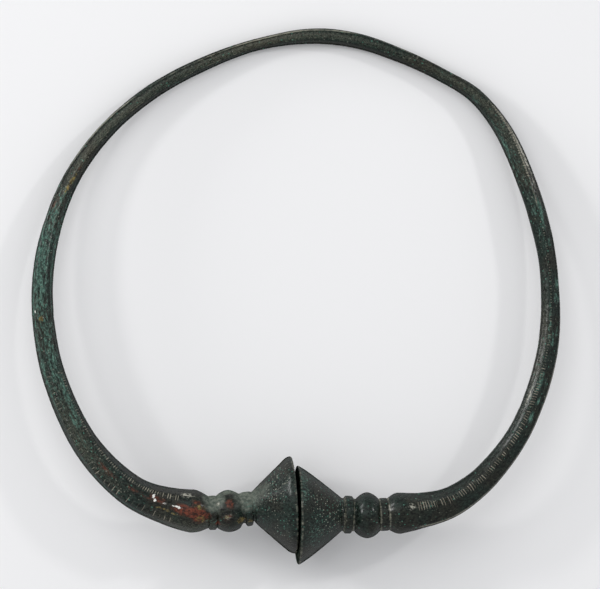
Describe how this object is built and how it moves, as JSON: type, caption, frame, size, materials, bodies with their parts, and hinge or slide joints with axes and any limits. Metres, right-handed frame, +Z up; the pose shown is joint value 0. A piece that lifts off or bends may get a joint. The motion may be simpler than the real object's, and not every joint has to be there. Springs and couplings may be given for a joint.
{
  "type": "bronze torc",
  "caption": "Open neck ring of cast bronze: ribbed hoop with rows of nicks, thickening to swellings, collars and beads, and ending in cone-shaped buffer terminals that nearly meet.",
  "frame": {"origin": "middle of the ring's bounding box, on the surface that it lies on", "axes": "+Y points to the back of the hoop and the terminals meet at -Y, +Z up as it lies, +X to the right with the terminals towards the viewer"},
  "size_m": [0.1408, 0.1426, 0.0257],
  "materials": {
    "bronze": "dark green to black patina with a satin sheen, teal crust on one arm and red-brown patches"
  },
  "bodies": {
    "root": {"torc": "bronze"}
  },
  "joints": []
}
